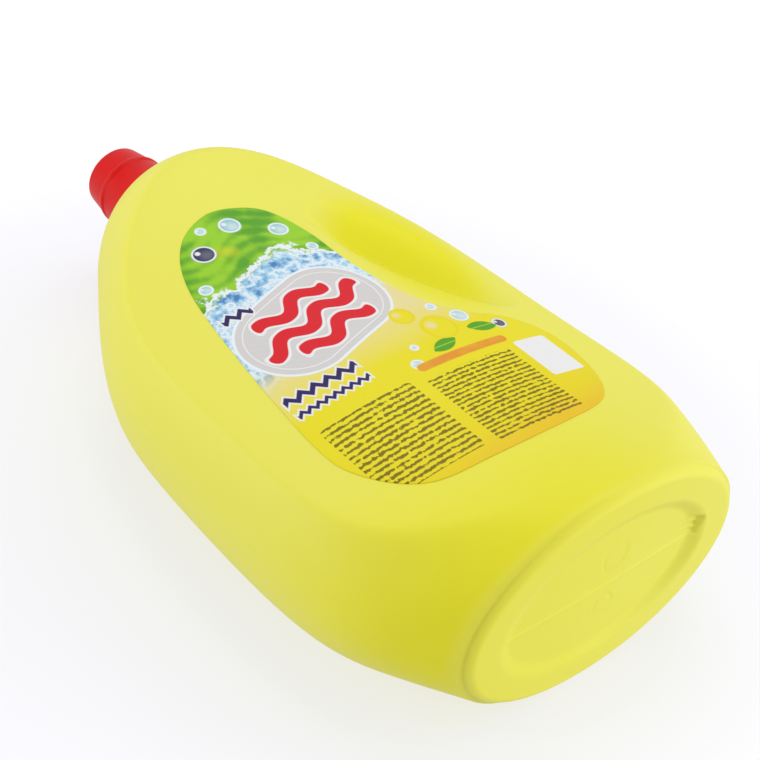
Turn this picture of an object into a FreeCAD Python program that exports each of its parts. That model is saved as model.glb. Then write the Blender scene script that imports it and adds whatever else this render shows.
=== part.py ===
"""Dish soap bottle: a blow-moulded jug with a finger grip, a screw cap, its liner and a front label.

Millimetres. +Z is up, the front panel faces -Y and the finger grip is on the +X side. The origin is on
the plane that the bottle stands on, under the middle of its overall width and depth.
"""
import FreeCAD, Part
import math
import os
from collections import namedtuple

# Neck: where its axis stands, its tube, the collar around it and the height that the thread stands out.
NECK_X = 5.5
NECK_BORE_RADIUS = 10.6
NECK_WALL = 1.9
NECK_HEIGHT = 31.4       # from the top of the dome to the rim
COLLAR_PROUD = 2.4
COLLAR_THICKNESS = 2.5
COLLAR_RISE = 4.0        # from the top of the dome to the underside of the collar
THREAD_HEIGHT = 1.2
NECK_RADIUS = NECK_BORE_RADIUS + NECK_WALL
COLLAR_RADIUS = NECK_RADIUS + COLLAR_PROUD

# How the dome runs in to the neck: its radius at the neck's root and at its eye, measured from the tube.
ROOT_SPREAD = 9.5
EYE_INSET = 1.0
ROOT_RADIUS = NECK_RADIUS + ROOT_SPREAD
EYE_RADIUS = NECK_RADIUS - EYE_INSET

# Widest reach of the body to the left and to the right of the origin, and its straight rise at the waist.
LEFT_REACH = 93.5
RIGHT_REACH = 92.5
WAIST_RISE = 50.0

# Body stations from the standing plane up: the rise from the station below, how far the outline reaches
# to the left and to the right of the origin, the half depth of the rounded flanks, and of the flat panels.
Station = namedtuple("Station", "rise left right flank panel")
FOOT = Station(0.0, LEFT_REACH - 27.5, RIGHT_REACH - 14.5, 49.0, 52.0)
LOW_HIP = Station(34.0, LEFT_REACH - 6.5, RIGHT_REACH - 1.0, 55.5, 45.5)
HIP = Station(28.0, LEFT_REACH - 1.0, RIGHT_REACH, 70.0, 43.5)
BELLY = Station(38.0, LEFT_REACH, RIGHT_REACH - 4.0, 76.0, 43.0)
WAIST = Station(WAIST_RISE, LEFT_REACH - 2.5, RIGHT_REACH - 7.5, 78.5, 42.0)
SHOULDER = Station(47.0, LEFT_REACH - 10.0, RIGHT_REACH - 13.5, 76.0, 41.5)
UPPER = Station(35.0, LEFT_REACH - 26.0, RIGHT_REACH - 25.5, 67.0, 43.0)
DOME = Station(29.0, LEFT_REACH - 44.0, RIGHT_REACH - 37.5, 53.0, 47.5)
CROWN = Station(20.0, LEFT_REACH - 59.0, RIGHT_REACH - 50.5, 38.5, 52.0)
NECK_ROOT = Station(12.0, ROOT_RADIUS - NECK_X, ROOT_RADIUS + NECK_X, ROOT_RADIUS, 56.0)
DOME_EYE = Station(2.5, EYE_RADIUS - NECK_X, EYE_RADIUS + NECK_X, EYE_RADIUS, 60.0)
STATIONS = (FOOT, LOW_HIP, HIP, BELLY, WAIST, SHOULDER, UPPER, DOME, CROWN, NECK_ROOT, DOME_EYE)

PANEL_CROWN = 15.0       # how far a panel drops back between its middle and PANEL_CROWN_REACH to the side
PANEL_CROWN_REACH = 90.0
CREASE_SHARPNESS = 16.0  # power that rounds the crease between panel and flank
HEEL_RADIUS = 5.0
WALL = 1.2

# Finger grip: an oval hollow pressed into the front and the back beside the right outline.
GRIP_X = 47.0
GRIP_Z = 170.0
GRIP_LEAN = 20.0         # degrees from upright, its lower end outwards
GRIP_LENGTH = 106.0
GRIP_WIDTH = 42.0
GRIP_DEPTH = 15.0
GRIP_WALL_SHARE = 0.24   # share of the width taken by the steep inner wall

# Hollow in the base, an oval with sloping sides under the neck.
BASE_HOLLOW_LENGTH = 108.0
BASE_HOLLOW_WIDTH = 68.0
BASE_HOLLOW_DEPTH = 5.0
BASE_HOLLOW_SLOPE = 8.0

# Screw cap and its liner, on the neck's axis.
THREAD_CLEARANCE = 0.3
LINER_THICKNESS = 1.0
LINER_CLEARANCE = 0.25
CAP_FOOT_CLEARANCE = 2.0  # above the root of the neck
CAP_SIDE_WALL = 1.2      # beside the bore at the top of the cap
CAP_FLARE = 5.6          # what the cap's foot is wider than its top, on the radius
CAP_SKIRT_WALL = 1.8
CAP_TOP_WALL = 1.6
CAP_EDGE_RADIUS = 1.4
BEAD_DROP = 14.5         # from the top of the cap to the middle of the bead
BEAD_HEIGHT = 2.4
BEAD_PROUD = 0.55

# Front label, a thin film. Its outline is a smooth closed curve through these points, seen from the front.
LABEL_THICKNESS = 0.2
ADHESIVE_THICKNESS = 0.1
LABEL_OUTLINE = (
    (-20.0, 229.5), (-38.0, 219.0), (-51.0, 195.0), (-60.0, 150.0), (-67.0, 95.0), (-64.0, 71.0),
    (-48.0, 51.0), (-20.0, 46.5), (20.0, 46.5), (45.0, 51.5), (58.0, 68.0), (62.0, 92.0),
    (54.0, 110.0), (36.0, 123.0), (23.0, 139.0), (16.0, 170.0), (14.5, 200.0), (8.0, 220.0), (-5.0, 228.5))

# Fineness of the body's surface.
AROUND = 96
ROW_STEP = 5.0
HEEL_ROWS = ((1.0, 0.0), (0.55, 0.0), (0.16, 0.16), (0.0, 0.55))  # inset and lift, in heel radii
LEVEL = 1e-6             # height range under which an edge counts as level
CUT_PAST = 1.0           # how far a cut runs past the face that it opens
TUBE_SINK = 12.0         # how far the neck's tube starts under the top of the dome

DOME_TOP = sum(station.rise for station in STATIONS)
RIM_HEIGHT = DOME_TOP + NECK_HEIGHT
CAP_CEILING = RIM_HEIGHT + 2 * LINER_CLEARANCE + LINER_THICKNESS
CAP_TOP = CAP_CEILING + CAP_TOP_WALL
CAP_FOOT = DOME_TOP - DOME_EYE.rise + CAP_FOOT_CLEARANCE
CAP_BORE_RADIUS = NECK_RADIUS + THREAD_HEIGHT + THREAD_CLEARANCE
CAP_TOP_RADIUS = CAP_BORE_RADIUS + CAP_SIDE_WALL
CAP_FOOT_RADIUS = CAP_TOP_RADIUS + CAP_FLARE


def natural_spline(knots, values):
    """Return the natural cubic spline through the values as a function of the knots' parameter."""
    gaps = [after - before for before, after in zip(knots, knots[1:])]
    slopes = [(after - before) / gap for before, after, gap in zip(values, values[1:], gaps)]
    count = len(knots)
    ratio, bend = [0.0] * count, [0.0] * count
    for i in range(1, count - 1):
        pivot = 2 * (gaps[i - 1] + gaps[i]) - gaps[i - 1] * ratio[i - 1]
        ratio[i] = gaps[i] / pivot
        bend[i] = (6 * (slopes[i] - slopes[i - 1]) - gaps[i - 1] * bend[i - 1]) / pivot
    for i in range(count - 2, 0, -1):
        bend[i] -= ratio[i] * bend[i + 1]

    def value(at):
        i = max(k for k in range(count - 1) if k == 0 or knots[k] <= at)
        gap, far, near = gaps[i], knots[i + 1] - at, at - knots[i]
        return ((bend[i] * far ** 3 + bend[i + 1] * near ** 3) / (6 * gap)
                + (values[i] / gap - bend[i] * gap / 6) * far
                + (values[i + 1] / gap - bend[i + 1] * gap / 6) * near)
    return value


def station_knots():
    """Return the distance along the outline at which each station lies."""
    knots = [0.0]
    for below, above in zip(STATIONS, STATIONS[1:]):
        spread = (above.left + above.right - below.left - below.right) / 2
        knots.append(knots[-1] + math.hypot(above.rise, spread))
    return knots


KNOTS = station_knots()
HEIGHTS = [sum(station.rise for station in STATIONS[:i + 1]) for i in range(len(STATIONS))]
RAILS = [natural_spline(KNOTS, column) for column in
         (HEIGHTS, [s.left for s in STATIONS], [s.right for s in STATIONS],
          [s.flank for s in STATIONS], [s.panel for s in STATIONS])]


def smooth_step(share):
    """Rise smoothly from 0 to 1."""
    share = min(max(share, 0.0), 1.0)
    return share * share * (3 - 2 * share)


def grip_hollow(x, z):
    """Return how deep the finger grip is pressed in at a point of the front view."""
    lean = math.radians(GRIP_LEAN)
    along = (x - GRIP_X) * math.sin(lean) - (z - GRIP_Z) * math.cos(lean)
    across = (x - GRIP_X) * math.cos(lean) + (z - GRIP_Z) * math.sin(lean)
    end = 1 - (2 * along / GRIP_LENGTH) ** 2
    if end <= 0:
        return 0.0
    share = across / (GRIP_WIDTH * math.sqrt(end)) + 0.5
    if not 0 < share < 1:
        return 0.0
    fall = smooth_step(share / GRIP_WALL_SHARE)
    rise = 1 - smooth_step((share - GRIP_WALL_SHARE) / (1 - GRIP_WALL_SHARE))
    return GRIP_DEPTH * end * fall * rise


def half_depth(x, cosine, z, flank, panel):
    """Return the body's half depth: an elliptic flank, held down to the crowned panel, less the grip."""
    round_part = flank * math.sqrt(max(1 - cosine * cosine, 0.0))
    flat_part = panel - PANEL_CROWN * (x / PANEL_CROWN_REACH) ** 2
    joined = round_part / (1 + (round_part / flat_part) ** CREASE_SHARPNESS) ** (1 / CREASE_SHARPNESS)
    return joined * (1 - grip_hollow(x, z) / flat_part)


def body_point(along, angle, inset=0.0, lift=None):
    """Return the point of the body's skin at a distance along the outline and an angle around it."""
    z, left, right, flank, panel = [rail(along) for rail in RAILS]
    reach = (left + right) / 2 - inset
    cosine = math.cos(angle)
    x = (right - left) / 2 + reach * cosine
    y = half_depth(x, cosine, z, flank - inset, panel - inset)
    return FreeCAD.Vector(x, -math.copysign(y, math.sin(angle)), z if lift is None else lift)


def skin_rows(offset):
    """Return rows of points on the body's skin, moved out along the normal by the offset."""
    heel_start = RAILS[0](0.0) + HEEL_RADIUS
    count = int(round((KNOTS[-1] - heel_start) / ROW_STEP))
    levels = [(0.0, inset * HEEL_RADIUS, lift * HEEL_RADIUS) for inset, lift in HEEL_ROWS]
    levels += [(heel_start + (KNOTS[-1] - heel_start) * k / count, 0.0, None) for k in range(count + 1)]
    rows = []
    for along, inset, lift in levels:
        rows.append([body_point(along, 2 * math.pi * k / AROUND, inset, lift) for k in range(AROUND)])
    return move_out(rows, offset) if offset else rows


def move_out(rows, offset):
    """Move each point of the rows along the skin's normal; the first and last rows stay level."""
    moved = []
    for i, row in enumerate(rows):
        below, above = rows[max(i - 1, 0)], rows[min(i + 1, len(rows) - 1)]
        new = []
        for k, point in enumerate(row):
            side = row[k - 1] - row[(k + 1) % AROUND]
            normal = side.cross(above[k] - below[k]).normalize()
            if i == 0 or i == len(rows) - 1:
                normal = FreeCAD.Vector(0, 0, -1 if i == 0 else 1)
            new.append(point + normal * offset)
        moved.append(new)
    return moved


def skin_solid(offset):
    """Return the closed solid inside the body's skin, moved out by the offset."""
    rows = skin_rows(offset)
    columns = [[row[k] for row in rows] for k in range(AROUND)]
    surface = Part.BSplineSurface()
    spans = len(rows) - 3
    surface.buildFromPolesMultsKnots(
        columns, [1] * (AROUND + 1), [4] + [1] * (spans - 1) + [4],
        [float(k) for k in range(AROUND + 1)], [float(k) for k in range(spans + 1)],
        True, False, 3, 3)
    side = surface.toShape()
    rims = [edge for edge in side.Edges if edge.BoundBox.ZLength < LEVEL]
    lids = [Part.Face(Part.Wire([rim])) for rim in rims]
    shell = Part.makeShell([side] + lids)
    shell.sewShape()
    solid = Part.Solid(shell)
    if solid.Volume < 0:
        solid.reverse()
    return solid


def turned(profile):
    """Return the solid made by turning a closed profile of (radius, height) points about the neck's axis."""
    points = [FreeCAD.Vector(NECK_X + radius, 0, height) for radius, height in profile]
    face = Part.Face(Part.makePolygon(points + points[:1]))
    return face.revolve(FreeCAD.Vector(NECK_X, 0, 0), FreeCAD.Vector(0, 0, 1), 360)


def base_plug(grow):
    """Return the tapered oval plug that presses the hollow into the base, grown by a wall."""
    wires = []
    slope = BASE_HOLLOW_SLOPE / BASE_HOLLOW_DEPTH
    for height in (-CUT_PAST, BASE_HOLLOW_DEPTH):
        spread = grow - slope * height
        centre = FreeCAD.Vector(NECK_X, 0, height + (grow if height > 0 else 0))
        oval = Part.Ellipse(centre, BASE_HOLLOW_LENGTH / 2 + spread, BASE_HOLLOW_WIDTH / 2 + spread)
        wires.append(Part.Wire([oval.toShape()]))
    return Part.makeLoft(wires, True, True)


def make_bottle():
    """Return the hollow body, open at the top of its dome."""
    foot = DOME_TOP - TUBE_SINK
    root = turned([(0, foot), (NECK_RADIUS, foot), (NECK_RADIUS, DOME_TOP), (0, DOME_TOP)])
    outside = skin_solid(0.0).fuse(root).cut(base_plug(0.0))
    bore = turned([(0, foot), (NECK_BORE_RADIUS, foot), (NECK_BORE_RADIUS, DOME_TOP + CUT_PAST),
                   (0, DOME_TOP + CUT_PAST)])
    inside = skin_solid(-WALL).cut(base_plug(WALL)).fuse(bore)
    return outside.cut(inside)


def make_neck():
    """Return the neck's tube with its collar, which goes on from the top of the dome."""
    collar = DOME_TOP + COLLAR_RISE
    return turned([(NECK_BORE_RADIUS, DOME_TOP), (NECK_RADIUS, DOME_TOP), (NECK_RADIUS, collar),
                   (COLLAR_RADIUS, collar), (COLLAR_RADIUS, collar + COLLAR_THICKNESS),
                   (NECK_RADIUS, collar + COLLAR_THICKNESS), (NECK_RADIUS, RIM_HEIGHT),
                   (NECK_BORE_RADIUS, RIM_HEIGHT)])


def make_screw_cap():
    """Return the tapered cap with its bead, hollow to its ceiling."""
    bead = CAP_TOP - BEAD_DROP
    bead_foot, bead_head = bead - BEAD_HEIGHT / 2, bead + BEAD_HEIGHT / 2
    slope = CAP_FLARE / (CAP_TOP - CAP_FOOT)

    def side(height):
        return CAP_TOP_RADIUS + slope * (CAP_TOP - height)

    body = turned([
        (0, CAP_CEILING), (CAP_BORE_RADIUS, CAP_CEILING), (CAP_BORE_RADIUS, bead_foot),
        (side(bead_foot) - CAP_SKIRT_WALL, bead_foot), (CAP_FOOT_RADIUS - CAP_SKIRT_WALL, CAP_FOOT),
        (CAP_FOOT_RADIUS, CAP_FOOT), (side(bead_foot), bead_foot), (side(bead) + BEAD_PROUD, bead),
        (side(bead_head), bead_head), (CAP_TOP_RADIUS, CAP_TOP), (0, CAP_TOP)])
    rim = [edge for edge in body.Edges
           if edge.BoundBox.ZMin > CAP_TOP - LEVEL and edge.BoundBox.XLength > CAP_TOP_RADIUS]
    return body.makeFillet(min(CAP_EDGE_RADIUS, CAP_TOP_WALL, CAP_SIDE_WALL), rim)


def make_cap_liner():
    """Return the foam disc that lies on the neck's rim under the cap's ceiling."""
    foot = RIM_HEIGHT + LINER_CLEARANCE
    radius = CAP_BORE_RADIUS - LINER_CLEARANCE
    return turned([(0, foot), (radius, foot), (radius, foot + LINER_THICKNESS), (0, foot + LINER_THICKNESS)])


def make_front_label():
    """Return the thin film that follows the front panel inside the outline, over its adhesive."""
    outline = Part.BSplineCurve()
    front = -max(station.panel for station in STATIONS)
    outline.interpolate(Points=[FreeCAD.Vector(x, front, z) for x, z in LABEL_OUTLINE], PeriodicFlag=True)
    cutter = Part.Face(Part.Wire([outline.toShape()])).extrude(FreeCAD.Vector(0, -front, 0))
    film = cutter.common(skin_solid(ADHESIVE_THICKNESS + LABEL_THICKNESS))
    return film.cut(skin_solid(ADHESIVE_THICKNESS))


def main():
    os.makedirs("parts", exist_ok=True)
    nodes = {"bottle": make_bottle(), "neck": make_neck(), "screw_cap": make_screw_cap(),
             "cap_liner": make_cap_liner(), "front_label": make_front_label()}
    for name, shape in nodes.items():
        shape.exportStep("parts/" + name + ".step")
        print(name, "solids", len(shape.Solids), "volume", round(shape.Volume), "valid", shape.isValid())


main()
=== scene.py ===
"""Dish soap bottle: the finished surfaces, materials, camera and light of a blow-moulded jug.

The body, its neck with the thread, the screw cap, the cap's liner and the printed front label are worked
out here as grids of points and stand for the frame's nodes of the same names. Lengths are millimetres in
the shape functions and metres in the meshes. +Z is up, the front panel faces -Y and the grip is on +X.
"""
import math

import bpy
import numpy as np
from mathutils import Matrix, Vector


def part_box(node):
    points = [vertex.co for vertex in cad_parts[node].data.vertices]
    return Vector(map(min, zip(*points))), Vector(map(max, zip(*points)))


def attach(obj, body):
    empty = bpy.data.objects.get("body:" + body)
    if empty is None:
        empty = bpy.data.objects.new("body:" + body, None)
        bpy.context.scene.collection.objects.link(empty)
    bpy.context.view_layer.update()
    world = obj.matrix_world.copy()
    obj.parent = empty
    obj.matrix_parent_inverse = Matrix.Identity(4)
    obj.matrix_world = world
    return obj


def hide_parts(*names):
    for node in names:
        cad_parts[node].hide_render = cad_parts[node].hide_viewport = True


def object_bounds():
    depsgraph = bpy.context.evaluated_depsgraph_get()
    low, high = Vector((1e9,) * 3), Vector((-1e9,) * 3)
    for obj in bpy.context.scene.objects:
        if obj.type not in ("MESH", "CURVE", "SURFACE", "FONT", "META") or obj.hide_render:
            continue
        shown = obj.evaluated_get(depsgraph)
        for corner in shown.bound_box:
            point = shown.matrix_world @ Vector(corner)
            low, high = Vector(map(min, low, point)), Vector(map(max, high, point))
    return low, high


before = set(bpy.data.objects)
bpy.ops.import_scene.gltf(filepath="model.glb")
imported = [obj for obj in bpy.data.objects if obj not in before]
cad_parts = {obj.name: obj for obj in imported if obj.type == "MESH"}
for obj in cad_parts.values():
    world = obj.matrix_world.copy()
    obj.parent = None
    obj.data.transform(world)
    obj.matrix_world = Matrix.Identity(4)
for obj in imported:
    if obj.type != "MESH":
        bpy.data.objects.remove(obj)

bl_info = {
    "name": "Dish soap bottle",
    "version": (1, 0, 0),
    "blender": (4, 5, 0),
    "location": "View3D > Sidebar > Bottle",
    "description": "Builds a blow-moulded dish soap bottle with its cap, liner and printed label",
    "category": "Object",
}

CAD_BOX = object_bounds()
MM = 0.001

# Body stations from the standing plane up: height, how far the outline reaches to the left and to the
# right, the half depth of the rounded flanks, and of the flat panels.
NECK_X = 5.5
NECK_RADIUS = 12.5
ROOT_RADIUS = 22.0
EYE_RADIUS = 11.5
STATIONS = np.array([
    (0.0, 66.0, 78.0, 49.0, 52.0),
    (34.0, 87.0, 91.5, 55.5, 45.5),
    (62.0, 92.5, 92.5, 70.0, 43.5),
    (100.0, 93.5, 88.5, 76.0, 43.0),
    (150.0, 91.0, 85.0, 78.5, 42.0),
    (197.0, 83.5, 79.0, 76.0, 41.5),
    (232.0, 67.5, 67.0, 67.0, 43.0),
    (261.0, 49.5, 55.0, 53.0, 47.5),
    (281.0, 34.5, 42.0, 38.5, 52.0),
    (293.0, ROOT_RADIUS - NECK_X, ROOT_RADIUS + NECK_X, ROOT_RADIUS, 56.0),
    (295.5, EYE_RADIUS - NECK_X, EYE_RADIUS + NECK_X, EYE_RADIUS, 60.0)])
PANEL_CROWN = 15.0
PANEL_CROWN_REACH = 90.0
CREASE_SHARPNESS = 30.0

# Finger grip pressed into the front and the back.
GRIP_X, GRIP_Z, GRIP_LEAN = 47.0, 170.0, math.radians(20.0)
GRIP_LENGTH, GRIP_WIDTH, GRIP_WALL_SHARE = 106.0, 42.0, 0.24

# Hollow in the base, deepest at its +X end, where a patch of ridges lets the mould turn the bottle.
HOLLOW_LENGTH, HOLLOW_WIDTH, HOLLOW_SLOPE = 113.0, 73.5, 7.5
HOLLOW_LEFT_SHARE = 0.4              # depth of the floor at the left, as a share of the full depth
HOLLOW_DEEPENS = (-30.0, 65.0)       # from the neck's axis, where the floor runs down to the full depth
NOTCH_MIDDLE, NOTCH_SIDES = (53.5, -6.0), (10.0, 10.5)
NOTCH_RIDGES, NOTCH_RIDGE_HEIGHT = 3, 0.9
NOTCH_COLUMNS = 24                   # close columns of points on each side of the seam

# Screw cap: straight taper to the bead and a skirt that flares to the foot.
CAP_TOP_RADIUS, CAP_BORE_RADIUS, CAP_SKIRT_WALL = 15.2, 14.0, 1.8
CAP_TAPER, CAP_FLARE_POWER = 0.145, 1.7
BEAD_DROP = 14.5

# Neck: collar over the dome and the wall of the tube.
COLLAR_RISE, COLLAR_PROUD, COLLAR_THICKNESS, NECK_WALL = 4.0, 2.4, 2.5, 1.9

# Front label: a smooth closed outline through these points, seen from the front.
LABEL_OUTLINE = np.array([
    (-20.0, 229.5), (-38.0, 219.0), (-51.0, 195.0), (-60.0, 150.0), (-67.0, 95.0), (-64.0, 71.0),
    (-48.0, 51.0), (-20.0, 46.5), (20.0, 46.5), (45.0, 51.5), (58.0, 68.0), (62.0, 92.0),
    (54.0, 110.0), (36.0, 123.0), (23.0, 139.0), (16.0, 170.0), (14.5, 200.0), (8.0, 220.0), (-5.0, 228.5)])
LABEL_MIDDLE = np.array((-8.0, 125.0))
LABEL_LIFT = (0.08, 0.3)     # under and outer face over the skin

# What is printed on the label: the pale oval, and bubbles as (middle, radius).
PANEL_MIDDLE, PANEL_LEAN = (-22.0, 150.0), 17.0
BUBBLES = (((-33.5, 209.0), 5.4), ((-13.0, 219.0), 5.0), ((4.0, 207.0), 4.6), ((-26.0, 222.0), 2.6),
           ((-46.0, 190.0), 3.2), ((9.0, 190.0), 2.8), ((-44.0, 176.0), 2.2), ((24.0, 131.0), 2.6),
           ((31.0, 121.0), 4.2), ((44.0, 110.0), 3.4), ((-8.0, 103.0), 3.0), ((-2.0, 112.0), 2.0))
NAVY_BUBBLES = (0, 9)

# More print: zigzags as ((middle, foot, reach), rise, half stroke), leaves, drops and the orange stripe,
# the blocks of fine lines as ((foot, head, left, right), spacing), the blank card and the red waves' rows.
ZIGZAGS = (((-45.0, 115.0, 17.5), 3.2, 1.6), ((-45.0, 107.5, 17.5), 2.0, 1.1),
           ((-46.0, 168.0, 7.0), 3.0, 1.5))
LEAVES = (((9.0, 107.5), 1.0), ((33.0, 111.0), -1.0))
DROPS = (((17.0, 118.0), 8.0), ((8.0, 131.0), 5.5))
STRIPE_MIDDLE, STRIPE_HALF = (14.0, 100.5), (24.0, 2.2)
LINE_BLOCKS = (((53.0, 97.0, -62.0, -18.0), 2.9), ((51.0, 94.0, -12.0, 33.0), 2.35))
CARD_MIDDLE, CARD_HALF = (47.0, 84.0), (9.0, 12.5)
WAVE_ROWS = ((-11.5, 21.0), (0.0, 32.0), (11.5, 21.0))

# The camera's place and turn: rows are its right, its up and the way back to the viewer.
CAMERA_PLACE = (-412.2, -448.4, -261.5)
CAMERA_AXES = ((0.7527, -0.1346, -0.6445), (0.3178, -0.7830, 0.5347), (-0.5766, -0.6073, -0.5466))
PHOTO_WIDTH = 760
FOCAL_PIXELS = 1742.0
SENSOR_MM = 36.0

# Lamps: where each stands as seen from the object's middle, how far off, and the side of its square.
LAMP_DIRECTIONS = {"left": (-0.84, -0.15, 0.52), "right": (0.55, -0.1, -0.83), "top": (0.3, -0.9, 0.32),
                   "side": (0.75, -0.5, -0.43)}
LAMP_DISTANCE = 1.2
LAMP_SIZE = 1.0

# What the sheets show the camera: their glow near the bottle and far off, and between which distances it grows.
# The weaker glow near the bottle is painted shade round it.
GLOW_NEAR, GLOW_FAR = 1.05, 1.3
GLOW_REACH = (0.15, 0.38)


# Shapes

def stretch(along):
    """Height, left, right, flank and panel at distances along the outline: natural cubic splines.

    The second derivatives m solve h[i-1] m[i-1] + 2 (h[i-1] + h[i]) m[i] + h[i] m[i+1] = 6 (s[i] - s[i-1]).
    """
    knots = outline_knots()
    gaps = np.diff(knots)
    slopes = np.diff(STATIONS, axis=0) / gaps[:, None]
    count = len(knots)
    system = np.eye(count)
    inner = np.arange(1, count - 1)
    system[inner, inner - 1] = gaps[:-1]
    system[inner, inner] = 2 * (gaps[:-1] + gaps[1:])
    system[inner, inner + 1] = gaps[1:]
    load = np.zeros_like(STATIONS)
    load[1:-1] = 6 * np.diff(slopes, axis=0)
    bend = np.linalg.solve(system, load)
    along = np.asarray(along, float)
    i = np.clip(np.searchsorted(knots, along, side="right") - 1, 0, count - 2)
    gap, far, near = gaps[i][..., None], (knots[i + 1] - along)[..., None], (along - knots[i])[..., None]
    values = ((bend[i] * far ** 3 + bend[i + 1] * near ** 3) / (6 * gap)
              + (STATIONS[i] / gap - bend[i] * gap / 6) * far
              + (STATIONS[i + 1] / gap - bend[i + 1] * gap / 6) * near)
    return np.moveaxis(values, -1, 0)


def outline_knots():
    """Distance along the outline of each station: the running chord of height and mean reach."""
    reach = (STATIONS[:, 1] + STATIONS[:, 2]) / 2
    return np.concatenate([[0.0], np.cumsum(np.hypot(np.diff(STATIONS[:, 0]), np.diff(reach)))])


def smooth_step(share):
    """3 s^2 - 2 s^3 of the share held between 0 and 1."""
    share = np.clip(share, 0.0, 1.0)
    return share * share * (3 - 2 * share)


def grip_hollow(x, z, depth):
    """How deep the grip is pressed in: an oval, steep on its inner side and running out on the other."""
    along = (x - GRIP_X) * math.sin(GRIP_LEAN) - (z - GRIP_Z) * math.cos(GRIP_LEAN)
    across = (x - GRIP_X) * math.cos(GRIP_LEAN) + (z - GRIP_Z) * math.sin(GRIP_LEAN)
    end = np.maximum(1 - (2 * along / GRIP_LENGTH) ** 2, 1e-9)
    share = across / (GRIP_WIDTH * np.sqrt(end)) + 0.5
    fall = smooth_step(share / GRIP_WALL_SHARE)
    rise = 1 - smooth_step((share - GRIP_WALL_SHARE) / (1 - GRIP_WALL_SHARE))
    return depth * end * fall * rise


def half_depth(x, cosine, z, flank, panel, grip):
    """Elliptic flank E = flank sqrt(1 - c^2) joined to the crowned panel F as E / (1 + (E/F)^n)^(1/n)."""
    round_part = flank * np.sqrt(np.maximum(1 - cosine * cosine, 0.0))
    flat_part = panel - PANEL_CROWN * (x / PANEL_CROWN_REACH) ** 2
    joined = round_part / (1 + (round_part / flat_part) ** CREASE_SHARPNESS) ** (1 / CREASE_SHARPNESS)
    return joined * (1 - grip_hollow(x, z, grip) / flat_part)


def skin(along, angle, grip, inset=0.0, lift=None):
    """Skin points (x, y, z): x = middle + reach cos a, y = -half depth with the sign of sin a, z by spline."""
    z, left, right, flank, panel = stretch(along)
    cosine = np.cos(angle)
    x = (right - left) / 2 + ((left + right) / 2 - inset) * cosine
    y = -np.sign(np.sin(angle)) * half_depth(x, cosine, z, flank - inset, panel - inset, grip)
    return np.stack(np.broadcast_arrays(x, y, z if lift is None else lift), -1)


def front_skin(x, z, grip):
    """Front half depth over the front view: the height's station is found by inverting z(along)."""
    table = np.linspace(0, outline_knots()[-1], 2000)
    height, left, right, flank, panel = stretch(np.interp(z, stretch(table)[0], table))
    cosine = np.clip((x - (right - left) / 2) / ((left + right) / 2), -1, 1)
    return half_depth(x, cosine, z, flank, panel, grip)


def base_height(x, y, depth, ridge):
    """Underside of the base: an oval dish with a smooth wall, a ridged notch, plain rings and the seam.

    With r the radius in units of the oval, a point lies (1 - r) / |grad r| inside it, and the wall is a
    smooth step of that distance. The floor deepens to the right by another smooth step.
    """
    dx = x - NECK_X
    half = HOLLOW_LENGTH / 2, HOLLOW_WIDTH / 2
    radius = np.hypot(dx / half[0], y / half[1])
    slope = np.hypot(dx / half[0] ** 2, y / half[1] ** 2) / np.maximum(radius, 1e-6)
    share = smooth_step((1 - radius) / np.maximum(slope, 1e-6) / HOLLOW_SLOPE)
    start, stop = HOLLOW_DEEPENS
    floor = HOLLOW_LEFT_SHARE + (1 - HOLLOW_LEFT_SHARE) * smooth_step((dx - start) / (stop - start))
    dish = depth * floor * share
    along, across = x - NOTCH_MIDDLE[0], y - NOTCH_MIDDLE[1]
    notch = (smooth_step((NOTCH_SIDES[0] / 2 - np.abs(along)) / 1.5 + 0.5)
             * smooth_step((NOTCH_SIDES[1] / 2 - np.abs(across)) / 1.5 + 0.5))
    comb = 0.5 - 0.5 * np.cos(2 * math.pi * NOTCH_RIDGES * (across / NOTCH_SIDES[1] + 0.5))
    pressed = np.maximum(dish, (depth - NOTCH_RIDGE_HEIGHT * (1 - comb)) * notch)
    seam = ridge * np.exp(-(y / 0.7) ** 2) * share
    return pressed - seam + stamped_rings(dx, y)


def stamped_rings(dx, y):
    """Two faint plain rings in the base: a bell curve of the distance from each ring's line."""
    rise = 0.0
    for across, radius in ((-13.0, 6.5), (12.0, 5.0)):
        off = np.abs(np.hypot(dx - 3.0, y - across) - radius)
        rise = rise + 0.35 * np.exp(-(off / 0.7) ** 2)
    return rise


def column_angles(count, flank=70.0):
    """Angles around the body: very close at the seam, close over the notch, and even further round."""
    near = np.array([0.0, 0.25, 0.5, 0.8, 1.3]) / flank
    close = np.linspace(near[-1] + 0.008, 0.22, NOTCH_COLUMNS)
    even = np.linspace(0.24, math.pi - near[-1] * 1.8, count // 2 - NOTCH_COLUMNS)
    half = np.concatenate([near, close, even, math.pi - near[::-1]])
    return np.concatenate([half, half[1:-1] + math.pi])


def rounded(corners, steps=5):
    """Outline through (radius, height, rounding) corners; each corner becomes an arc of that rounding.

    The arc's points are a quadratic Bezier curve from one tangent point over the corner to the other.
    """
    corners = np.array(corners, float)
    places, roundings = corners[:, :2], corners[:, 2]
    points = [places[0]]
    share = np.linspace(0, 1, steps)[:, None]
    for before, place, after, rounding in zip(places, places[1:], places[2:], roundings[1:]):
        back, on = before - place, after - place
        reach = min(rounding, 0.45 * np.linalg.norm(back), 0.45 * np.linalg.norm(on))
        start = place + back / np.linalg.norm(back) * reach
        stop = place + on / np.linalg.norm(on) * reach
        points.extend((1 - share) ** 2 * start + 2 * share * (1 - share) * place + share ** 2 * stop)
    points.append(places[-1])
    return np.array(points)


def revolve(outline, angle, middle):
    """Rows of a turned surface: (middle + r cos a, -r sin a, height) for each outline point."""
    radius, height = outline[:, :1], outline[:, 1:]
    return np.stack(np.broadcast_arrays(middle + radius * np.cos(angle), -radius * np.sin(angle), height), -1)


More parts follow.
